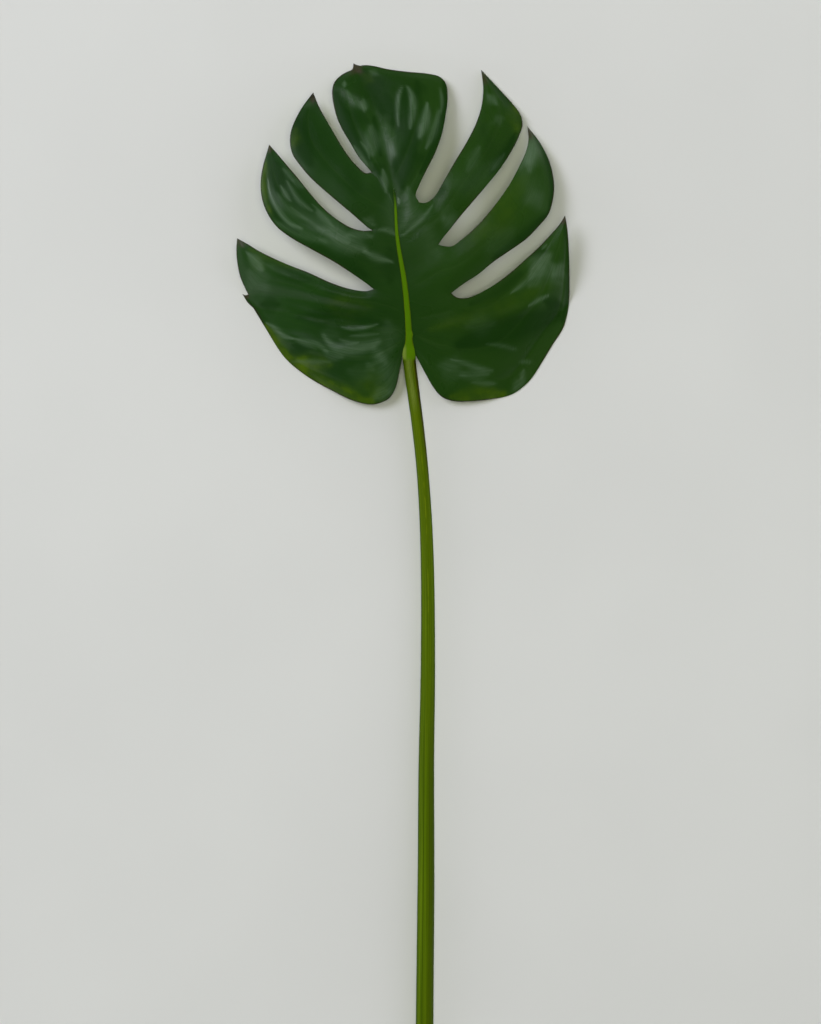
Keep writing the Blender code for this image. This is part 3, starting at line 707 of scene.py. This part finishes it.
def stalkRing(x, y, radius):  # a circle + ridges sin(number * angle + twist), flat along the surface
    angle = np.linspace(0, 2 * np.pi, stalk["around"], endpoint=False) + np.pi / 2
    turn = y / stalk["twistLength"]
    ridges = sum(share * np.sin(number * angle + twist * turn) for number, share, twist in stalk["ridges"])
    wrinkles = stalk["wrinkle"] * np.sin(stalk["wrinkleCount"] * angle + 0.5 * np.sin(y))
    size = radius + stalk["grain"] * ridges + wrinkles * smoothStep(y, *stalk["wrinkleStart"])
    lift = stalk["lift"] * np.clip(1 - y / stalk["liftStart"], 0, 1) ** 2
    centre = radius * np.sin(np.radians(90 - stalk["flatAngle"])) + lift
    height = np.maximum(centre + size * np.sin(angle), 0)
    return np.stack([x + size * np.cos(angle), np.full_like(angle, y), height], axis=1)


def ribRing(y):  # the midrib's section: a crowned strip level with the blade, a rounded body below
    _, body, depth = ribSize(y)
    top = max(slotHalf(y) - rib["visibleGap"], rib["thinnest"])
    before, past = rib["endTaper"]
    ending = fadeOut(y, rib["slotEnd"] - before, rib["slotEnd"] + past)
    body = body * ending + top * (1 - ending)
    depth = depth * ending + rib["shoulder"] * (1 - ending) * rib["endDepth"]
    quarter = stalk["around"] // 4
    t = np.linspace(0, np.pi / 2, quarter + 1)
    crown = np.stack([top * np.sin(t), rib["crown"] * np.cos(t) ** rib["crownPower"]], axis=1)[:-1]
    widest = rib["shoulder"] + rib["lip"]
    below = np.stack([body * np.cos(t), -widest - (depth - widest) * np.sin(t)], axis=1)
    half = np.vstack([crown, [[top, -rib["shoulder"] * rib["corner"]]], below[1:]])
    ring = np.vstack([half, (half * [-1, 1])[-2:0:-1]])
    points = np.stack([midlineX(y) + ring[:, 0], np.full(len(ring), y), crownHeight(y) + ring[:, 1]], axis=1)
    return points[np.r_[0, len(ring) - 1:0:-1]]


def bandQuads(first, rings):  # the faces between rings of points that follow one another
    around = stalk["around"]
    i, j = np.meshgrid(np.arange(rings - 1), np.arange(around), indexing="ij")
    a, b = first + i * around + j, first + i * around + (j + 1) % around
    return np.stack([a, b, b + around, a + around], axis=-1).reshape(-1, 4)


def buildStalk(shift):  # rings along stalk and midrib; smaller rings close the cut end, a fan the other
    around = stalk["around"]
    stations = alongPath(stalk["stations"], np.linspace(0, 1, stalk["rings"]))
    ribShares = np.linspace(rib["firstRing"], 1, rib["rings"]) ** rib["ringCrowding"]
    ribPlaces = (rib["slotEnd"] - rib["endGap"]) * ribShares
    rings = [stalkRing(*station) for station in stations] + [ribRing(y) for y in ribPlaces]
    count = len(rings)
    shares = np.linspace(1, 0, stalk["capRings"] + 1)[1:-1]
    centre = rings[0].mean(axis=0)
    cap = [centre + (rings[0] - centre) * share for share in shares]
    points = np.vstack([*rings, rings[0], *cap, centre[None], rings[-1].mean(axis=0)[None]])
    first, tail = count * around, len(points) - 1
    j = np.arange(around)
    following = (j + 1) % around
    last, tip = first + len(shares) * around, first - around
    capFan = np.stack([last + following, last + j, np.full(around, tail - 1)], axis=1)
    tipFan = np.stack([tip + j, tip + following, np.full(around, tail)], axis=1)
    quads = np.vstack([bandQuads(0, count), bandQuads(first, len(shares) + 1)[:, [1, 0, 3, 2]]])
    faces = np.vstack([quads[:, [0, 1, 2]], quads[:, [0, 2, 3]], capFan, tipFan])
    turn, length, cut, radial, strip = [np.zeros(len(points)) for _ in range(5)]
    turn[:first] = np.tile(j / around, count)
    length[:] = points[:, 1] / stalk["grainLength"]
    length[first:tail] += stalk["cutGrain"]  # the cut's grain lies away from the skin's
    uv = np.stack([turn, length], axis=1)[faces]
    wrap = np.ptp(uv[..., 0], axis=1) > 0.5
    uv[..., 0] = np.where(wrap[:, None] & (uv[..., 0] < 0.5), uv[..., 0] + 1, uv[..., 0])
    cut[first:tail] = 1
    radial[:] = 1
    radial[first:tail] = np.concatenate([np.ones(around), np.repeat(shares, around), [0]])
    for x, y, width, height in stalk["knobs"]:
        lifted = height * bell(np.hypot(points[:, 0] - x, points[:, 1] - y), width)
        lifted *= smoothStep(points[:, 2], *stalk["knobFrom"])
        points[:, 2] += lifted
        points[:, 0] += lifted * np.sign(x)
    strip[:first] = np.tile(smoothStep(np.cos(2 * np.pi * j / around), *stalk["stripEdge"]), count)
    strip *= smoothStep(points[:, 1], *stalk["stripStart"])
    centreX, radius = [np.interp(points[:, 1], stations[:, 1], stations[:, i]) for i in (0, 2)]
    across = (points[:, 0] - centreX) / radius
    attributes = dict(cut=cut, radial=radial, strip=strip, across=across, station=points[:, 1])
    return makePiece("stalkWithMidrib", (points + shift) * mm, faces, attributes, uv.reshape(-1, 2))


# Materials

def srgb(red, green, blue):  # a colour from 0 to 255 as the eye sees it, made linear
    part = np.array([red, green, blue]) / 255
    linear = np.where(part <= 0.04045, part / 12.92, ((part + 0.055) / 1.055) ** 2.4)
    return (*linear.tolist(), 1)


class Shading:  # a few short calls for building the node tree of a material or of the world
    def __init__(self, block, shader="Principled BSDF"):
        block.use_nodes = True
        self.block, self.nodes, self.links = block, block.node_tree.nodes, block.node_tree.links
        self.shader = self.nodes[shader]

    def put(self, socket, value):
        if isinstance(value, bpy.types.NodeSocket):
            self.links.new(value, socket)
        else:
            socket.default_value = value

    def give(self, key, value):  # to an input of the tree's own shader
        self.put(self.shader.inputs[key], value)

    def node(self, kind, output, inputs, **settings):  # a new node, known by one of its outputs
        node = self.nodes.new("ShaderNode" + kind)
        for key, value in settings.items():
            setattr(node, key, value)
        for key, value in inputs.items():
            self.put(node.inputs[key], value)
        return node.outputs[output]

    def attribute(self, name):
        return self.node("Attribute", "Fac", {}, attribute_name=name)

    def coordinates(self, source="Object", scale=(1, 1, 1)):
        return self.node("Mapping", "Vector", dict(Vector=self.node("TexCoord", source, {}), Scale=scale))

    def noise(self, vector, scale, detail=3.0, roughness=0.5):
        inputs = dict(Vector=vector, Scale=scale, Detail=detail, Roughness=roughness)
        return self.node("TexNoise", "Fac", inputs)

    def grain(self, across, along, *settings):  # noise stretched over the UV map
        return self.noise(self.coordinates("UV", (across, along, 1)), *settings)

    def spread(self, value, low, high, outLow=0.0, outHigh=1.0, step="SMOOTHSTEP"):  # from outLow to outHigh
        inputs = {"Value": value, "From Min": low, "From Max": high, "To Min": outLow, "To Max": outHigh}
        return self.node("MapRange", "Result", inputs, interpolation_type=step)

    def maths(self, operation, first, second=0.0):
        return self.node("Math", "Value", {0: first, 1: second}, operation=operation)

    def times(self, product, *factors):
        for factor in factors:
            product = self.maths("MULTIPLY", product, factor)
        return product

    def line(self, across, place, width):  # 1 along a line at this place, 0 further off than the width
        return self.spread(self.maths("ABSOLUTE", self.maths("ADD", across, -place)), width, 0.02)

    def blend(self, share, first, second):
        return self.node("Mix", 2, {"Factor": share, 6: first, 7: second}, data_type="RGBA")

    def coat(self, face, layers, masks):  # each layer's colour over those before it, by share * mask
        for name, (colour, share) in layers.items():
            face = self.blend(self.times(masks[name], share), face, colour)
        return face

    def bump(self, height, distance, strength, **normal):
        inputs = dict(Height=height, Distance=distance, Strength=strength, **normal)
        return self.node("Bump", "Normal", inputs)


leafLook = dict(
    deep=srgb(21, 49, 13), plain=srgb(31, 64, 20), plainShare=(0.35, 0.9),
    layers=dict(  # colour and share, the later ones on top
        # shade: painted shade, darker where the leaf lies in shade
        reach=(srgb(43, 74, 16), 0.4), streaks=(srgb(43, 74, 16), 0.14), shade=(srgb(21, 49, 13), 0.75),
        # of the layers below, the pale bluish-green one is a painted sheen where highlights fall
        warm=(srgb(72, 98, 8), 1), vein=(srgb(56, 84, 34), 0.1), waxAndPaintedSheen=(srgb(90, 115, 86), 0.7),
        rim=(srgb(46, 42, 28), 1), brown=(srgb(62, 54, 40), 0.8),
    ),
    under=srgb(92, 124, 56), underFresh=srgb(108, 140, 62),
    underLayers=dict(vein=(srgb(152, 168, 92), 0.9), rim=(srgb(46, 42, 28), 0.7)),
    yellowing=(0.25, 0.95), sheenNoise=(0.5, 1.1), rimPlaces=(0.1, 0.85), rimWidth=1.25,
    roughness=(0.26, 0.33), underRoughness=0.22, shine=(0.15, 0.36), shadeShine=0.33,
    skin=(0.00006, 0.3), fibres=(0.0002, 0.4),  # depth and strength of the fine bumps
)


def bladeMaterial():  # green by clouds, then each layer by its mask, painted shade and painted sheen among them; the underside has a paler coat
    s, look = Shading(bpy.data.materials.new("waxyLeafBlade")), leafLook
    mask = {name: s.attribute(name) for name in ("reach", "shade", "warm", "vein", "waxAndPaintedSheen", "brown")}
    margin, under = s.attribute("margin"), s.attribute("under")
    place = s.coordinates()
    clouds = s.spread(s.noise(place, 12, 4), 0.35, 0.68)
    rimPlaces = s.spread(s.noise(place, 28, 2), 0.36, 0.6, *look["rimPlaces"])
    mask["reach"] = s.spread(mask["reach"], -60, 90)
    mask["streaks"] = s.spread(s.grain(7, 1.3, 5, 4, 0.6), 0.3, 0.7)
    mask["warm"] = s.times(mask["warm"], s.spread(s.noise(place, 70, 4, 0.6), 0.3, 0.7, *look["yellowing"]))
    # painted sheen: the sheen marks, broken up by noise, blend the face towards a pale highlight colour
    mask["waxAndPaintedSheen"] = s.times(mask["waxAndPaintedSheen"], s.spread(s.grain(14, 2.6, 3, 5, 0.7), 0.3, 0.7, *look["sheenNoise"]))
    mask["rim"] = s.times(s.spread(margin, look["rimWidth"], 0.25), rimPlaces)
    face = s.blend(s.spread(clouds, 0, 1, *look["plainShare"]), look["deep"], look["plain"])
    face = s.coat(face, look["layers"], mask)
    mask["rim"] = s.spread(margin, 1.0, 0.2)
    back = s.coat(s.blend(mask["streaks"], look["under"], look["underFresh"]), look["underLayers"], mask)
    s.give("Base Color", s.blend(under, face, back))
    roughness = s.spread(s.noise(place, 22, 3), 0.3, 0.7, *look["roughness"])
    s.give("Roughness", s.maths("ADD", roughness, s.times(under, look["underRoughness"])))
    shine = s.spread(mask["waxAndPaintedSheen"], 0, 1, *look["shine"])
    shine = s.times(shine, s.spread(mask["shade"], 0, 1, 1, look["shadeShine"]))
    s.give("Specular IOR Level", shine)
    skin = s.bump(s.noise(place, 1400, 2), *look["skin"])
    s.give("Normal", s.bump(s.grain(60, 2.2, 4, 3, 0.55), *look["fibres"], Normal=skin))
    return s.block


stalkDark, stalkPale, stalkKnee = srgb(46, 66, 0), srgb(116, 134, 16), srgb(124, 140, 60)
stalkLook = dict(
    low=srgb(80, 108, 0), strip=srgb(82, 122, 4), cutDots=srgb(120, 138, 70),
    layers=dict(  # colour and share, the later ones on top
        upper=(srgb(84, 110, 0), 1), broad=(stalkDark, 0.55), threads=(stalkPale, 0.34),
        # edges and shadeSide are painted shade: the stalk's sides, the right one more, darker as they turn
        # from the light
        stripes=(stalkKnee, 1), wrinkles=(stalkDark, 0.75), edges=(stalkDark, 0.6),
        shadeSide=(srgb(58, 74, 0), 0.6), furrow=(stalkDark, 0.7), paleLine=(stalkPale, 0.6),
        brown=(srgb(56, 54, 2), 0.8),
    ),
    stripLayers=dict(threads=(srgb(56, 90, 6), 0.35), stripEnd=(srgb(30, 62, 16), 1)),
    kneeLayers=dict(kneeBody=(srgb(82, 122, 4), 0.8), kneeLump=(stalkKnee, 0.75)),
    cutLayers=dict(pith=(srgb(176, 186, 118), 1), skin=(srgb(84, 110, 0), 1)),
    furrow=(-0.33, 0.13), paleLine=(0.04, 0.12),  # place across the stalk, in radii, and half width
    roughness=(0.45, 0.55), shine=0.04, threadBump=(0.00012, 0.5),
)


def stalkMaterial():  # olive, then each layer by its mask, painted shade on its sides among them; the midrib's strip, knee and cut come last
    s, look = Shading(bpy.data.materials.new("oliveStalk")), stalkLook
    station, across = s.attribute("station"), s.attribute("across")
    place = s.coordinates()
    lowerStalk = s.spread(station, -190, -330)
    belowKnee = s.times(s.spread(station, -46, -30), s.spread(station, 0, -3))
    middle = s.times(s.spread(across, -0.75, -0.3), s.spread(across, 0.5, 0.1))
    kneeBody = s.times(s.spread(station, -4, -2), s.spread(station, 9, 4))
    mask = dict(
        upper=s.spread(station, -250, -60),
        broad=s.spread(s.grain(7, 0.2, 2, 2), 0.36, 0.62),
        threads=s.spread(s.grain(18, 0.3, 3, 5, 0.62), 0.34, 0.66),
        stripes=s.times(belowKnee, middle, s.spread(s.grain(34, 1.0, 4, 3, 0.6), 0.38, 0.62, 0.1, 0.8)),
        wrinkles=s.times(belowKnee, s.spread(s.grain(30, 0.9, 4, 2, 0.6), 0.5, 0.66)),
        # painted shade: darker towards both sides of the stalk, and on the right of its lower part
        edges=s.spread(s.maths("ABSOLUTE", across), 0.62, 0.98),
        shadeSide=s.times(s.spread(across, 0, 0.4), lowerStalk),
        furrow=s.times(s.line(across, *look["furrow"]), lowerStalk),
        paleLine=s.times(
            s.line(across, *look["paleLine"]), s.spread(station, -215, -180), s.spread(station, -62, -85),
            s.spread(s.noise(place, 70, 2), 0.45, 0.6),
        ),
        brown=s.times(s.spread(across, 0.4, 0.85), s.spread(station, -130, -40), s.spread(station, -1, -3)),
        stripEnd=s.spread(station, 106, 123),
        kneeBody=kneeBody,
        kneeLump=s.times(kneeBody, s.spread(across, -0.3, -0.8), s.spread(station, -5, -2)),
        pith=s.spread(s.node("TexVoronoi", "Distance", dict(Vector=place, Scale=900)), 0.18, 0.4),
        skin=s.spread(s.attribute("radial"), 0.86, 0.95),
    )
    face = s.coat(look["low"], look["layers"], mask)
    face = s.blend(s.attribute("strip"), face, s.coat(look["strip"], look["stripLayers"], mask))
    face = s.coat(face, look["kneeLayers"], mask)
    face = s.blend(s.attribute("cut"), face, s.coat(look["cutDots"], look["cutLayers"], mask))
    s.give("Base Color", face)
    s.give("Roughness", s.spread(mask["threads"], 0, 1, *look["roughness"]))
    s.give("Specular IOR Level", look["shine"])
    s.give("Normal", s.bump(mask["threads"], *look["threadBump"]))
    return s.block


# Studio

studio = dict(
    floorSize=40.0, floor=srgb(228, 228, 226), mottling=0.97, floorRoughness=0.8, floorShine=0.1,
    camera=dict(height=3.9, lookAt=(0.0056, 0.0375), wide=0.7655, level=0.012),
    lights=[  # name, place, size, watts, colour, seen in glossy surfaces
        ("keyLeft", (-2.7, 1.9, 3.6), 2.4, 116, (0.97, 0.98, 1.10), True),
        ("overhead", (0.1, 0.1, 4.2), 2.0, 46, (1.04, 1.06, 0.76), False),
        ("lowRight", (3.6, 1.8, 3.0), 3.0, 32, (0.97, 0.98, 1.08), False),
    ],
    lightsAim=(0, 0.15, 0),
    air=(0.98, 1.0, 1.04), horizon=1.8, zenith=0.0, airBand=(0.1, 0.5),  # dark from the top of this band up
)


def buildStudio():  # a pale floor, three soft lamps, air that is bright low down, a camera straight above
    half = studio["floorSize"] / 2
    corners = [(-half, -half, 0), (half, -half, 0), (half, half, 0), (-half, half, 0)]
    mesh = bpy.data.meshes.new("paleFloor")
    mesh.from_pydata(corners, [], [(0, 1, 2, 3)])
    floor = addObject("paleFloor", mesh)
    paint = Shading(bpy.data.materials.new("paleFloor"))
    mottling = paint.spread(paint.noise(paint.coordinates(), 5, 2), 0.3, 0.7)
    shade = tuple(value * studio["mottling"] for value in studio["floor"][:3]) + (1,)
    paint.give("Base Color", paint.blend(mottling, shade, studio["floor"]))
    paint.give("Roughness", studio["floorRoughness"])
    paint.give("Specular IOR Level", studio["floorShine"])
    mesh.materials.append(paint.block)
    for name, place, across, watts, colour, mirrored in studio["lights"]:
        lamp = bpy.data.lights.new(name, "AREA")
        lamp.size, lamp.energy, lamp.color = across, watts, colour
        holder = addObject(name, lamp)
        holder.location = place
        holder.visible_glossy = mirrored
        toAim = Vector(studio["lightsAim"]) - Vector(place)
        holder.rotation_euler = toAim.to_track_quat("-Z", "Y").to_euler()
    air = Shading(bpy.data.worlds.new("studioAir"), "Background")
    bpy.context.scene.world = air.block
    height = air.node("SeparateXYZ", "Z", dict(Vector=air.node("TexCoord", "Generated", {})))
    strength = air.spread(height, *studio["airBand"], studio["horizon"], studio["zenith"], "LINEAR")
    air.give("Strength", strength)
    air.give("Color", (*studio["air"], 1))
    view = studio["camera"]
    lens = bpy.data.cameras.new("overhead")
    lens.lens = lens.sensor_width * (view["height"] - view["level"]) / view["wide"]
    camera = addObject("overhead", lens)
    camera.location = (*view["lookAt"], view["height"])
    bpy.context.scene.camera = camera
    bpy.context.scene.view_settings.view_transform = "Standard"
    print("studio ready")


buildStudio()
bladePiece, kneeShift = buildBlade()
bladePiece.data.materials.append(bladeMaterial())
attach(bladePiece, "root")
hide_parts("leaf_blade")
stalkPiece = buildStalk(kneeShift)
stalkPiece.data.materials.append(stalkMaterial())
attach(stalkPiece, "root")
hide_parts("stalk_and_midrib")
keyShadows = bpy.data.collections.new("keyShadows")  # the key light throws no shadow of the stalk
keyShadows.objects.link(stalkPiece)
keyShadows.collection_objects[0].light_linking.link_state = "EXCLUDE"
bpy.data.objects["keyLeft"].light_linking.blocker_collection = keyShadows
print("pieces dressed")
